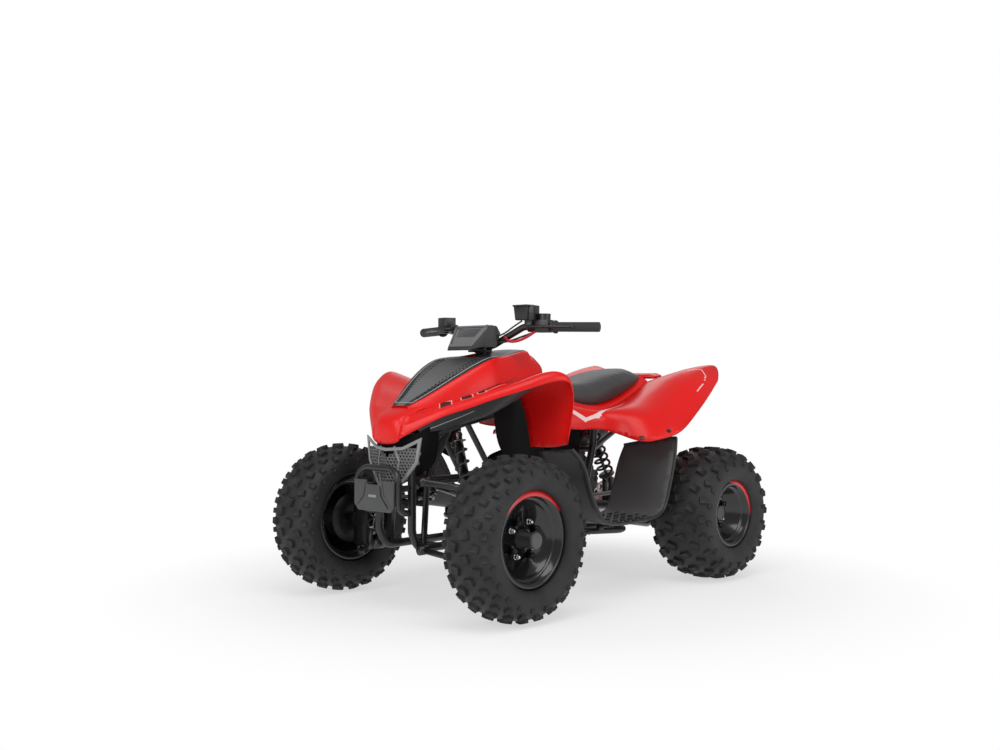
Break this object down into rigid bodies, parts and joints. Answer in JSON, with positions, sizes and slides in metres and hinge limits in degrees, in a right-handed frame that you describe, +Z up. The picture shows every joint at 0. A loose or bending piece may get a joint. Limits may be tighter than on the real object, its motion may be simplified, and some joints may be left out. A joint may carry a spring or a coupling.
{
  "type": "quad bike",
  "caption": "Youth sport quad bike with steered front wheels, a rear axle on a swingarm, moulded fenders, a padded seat and foot guards.",
  "frame": {"origin": "on the ground, midway along the length over the tyres, on the centre plane", "axes": "+X forward, +Y to the vehicle's left, +Z up"},
  "size_m": [1.5016, 0.982, 0.9327],
  "materials": {
    "rim": "gloss black paint",
    "tyre": "matt rubber",
    "hub": "cast, dark",
    "machined": "machined steel",
    "chassis_paint": "satin black paint",
    "arm_paint": "satin black paint",
    "handlebar_steel": "bright steel",
    "grip_rubber": "matt",
    "controls_plastic": "matt",
    "spring_steel": "black paint",
    "damper_metal": "steel",
    "axle_steel": "steel",
    "chain_steel": "oiled steel",
    "engine_alloy": "cast alloy",
    "engine_cover": "bronze finish",
    "exhaust_steel": "matt heat paint",
    "red_plastic": "gloss",
    "black_plastic": "matt",
    "grey_plastic": "matt",
    "seat_cover": "vinyl grain",
    "bracket_zinc": "zinc plate",
    "lamp_lens": "red lens"
  },
  "bodies": {
    "chassis": {"bumper_plate": "grey_plastic", "chain": "chain_steel", "crankcase": "engine_alloy", "cylinder": "engine_alloy", "dampers": "damper_metal", "exhaust": "exhaust_steel", "fender_trims": "grey_plastic", "flag_bracket": "bracket_zinc", "flywheel_cover": "engine_cover", "foot_bars": "chassis_paint", "footwells": "black_plastic", "frame": "chassis_paint", "front_body": "red_plastic", "front_bumper": "chassis_paint", "grille": "grey_plastic", "intake": "black_plastic", "lower_arms": "arm_paint", "rear_body": "red_plastic", "seat": "seat_cover", "springs": "spring_steel", "swingarm": "chassis_paint", "tail_lamp": "lamp_lens", "upper_arms": "arm_paint"},
    "steering": {"steering_column": "arm_paint", "handlebar": "handlebar_steel", "grips": "grip_rubber", "bar_controls": "controls_plastic", "instrument_pod": "black_plastic"},
    "knuckle_left": {"knuckle_left": "machined"},
    "knuckle_right": {"knuckle_right": "machined"},
    "tie_rod_left": {"tie_rod_left": "machined"},
    "tie_rod_right": {"tie_rod_right": "machined"},
    "wheel_front_left": {"front_rim_left": "rim", "front_tyre_left": "tyre", "front_hub_left": "hub"},
    "wheel_front_right": {"front_rim_right": "rim", "front_tyre_right": "tyre", "front_hub_right": "hub"},
    "rear_axle": {"rear_axle": "axle_steel", "rear_sprocket": "chain_steel", "rear_brake_disc": "machined", "rear_rim_left": "rim", "rear_rim_right": "rim", "rear_tyre_left": "tyre", "rear_tyre_right": "tyre"}
  },
  "joints": [
    {"name": "steer", "type": "hinge", "parent": "chassis", "child": "steering", "pos_m": [0.235, 0, 0.806], "axis": [-0.5218, 0, 0.8531], "range_deg": [-32, 32]},
    {"name": "knuckle_left_turn", "type": "hinge", "parent": "chassis", "child": "knuckle_left", "pos_m": [0.5085, 0.296, 0.255], "axis": [0, 0, 1], "range_deg": [-32, 32]},
    {"name": "knuckle_right_turn", "type": "hinge", "parent": "chassis", "child": "knuckle_right", "pos_m": [0.5085, -0.296, 0.255], "axis": [0, 0, 1], "range_deg": [-32, 32]},
    {"name": "tie_rod_left_turn", "type": "hinge", "parent": "knuckle_left", "child": "tie_rod_left", "pos_m": [0.4625, 0.296, 0.3], "axis": [0, 0, 1], "range_deg": [-32, 32]},
    {"name": "tie_rod_right_turn", "type": "hinge", "parent": "knuckle_right", "child": "tie_rod_right", "pos_m": [0.4625, -0.296, 0.3], "axis": [0, 0, 1], "range_deg": [-32, 32]},
    {"name": "front_left_spin", "type": "hinge", "parent": "knuckle_left", "child": "wheel_front_left", "pos_m": [0.5085, 0.393, 0.242], "axis": [0, 1, 0], "continuous": true},
    {"name": "front_right_spin", "type": "hinge", "parent": "knuckle_right", "child": "wheel_front_right", "pos_m": [0.5085, -0.393, 0.242], "axis": [0, 1, 0], "continuous": true},
    {"name": "rear_axle_spin", "type": "hinge", "parent": "chassis", "child": "rear_axle", "pos_m": [-0.5215, 0, 0.229], "axis": [0, 1, 0], "continuous": true}
  ],
  "couplings": [
    {"joint": "knuckle_left_turn", "follows": "steer", "ratio": 1},
    {"joint": "knuckle_right_turn", "follows": "steer", "ratio": 1},
    {"joint": "tie_rod_left_turn", "follows": "steer", "ratio": -1},
    {"joint": "tie_rod_right_turn", "follows": "steer", "ratio": -1}
  ]
}
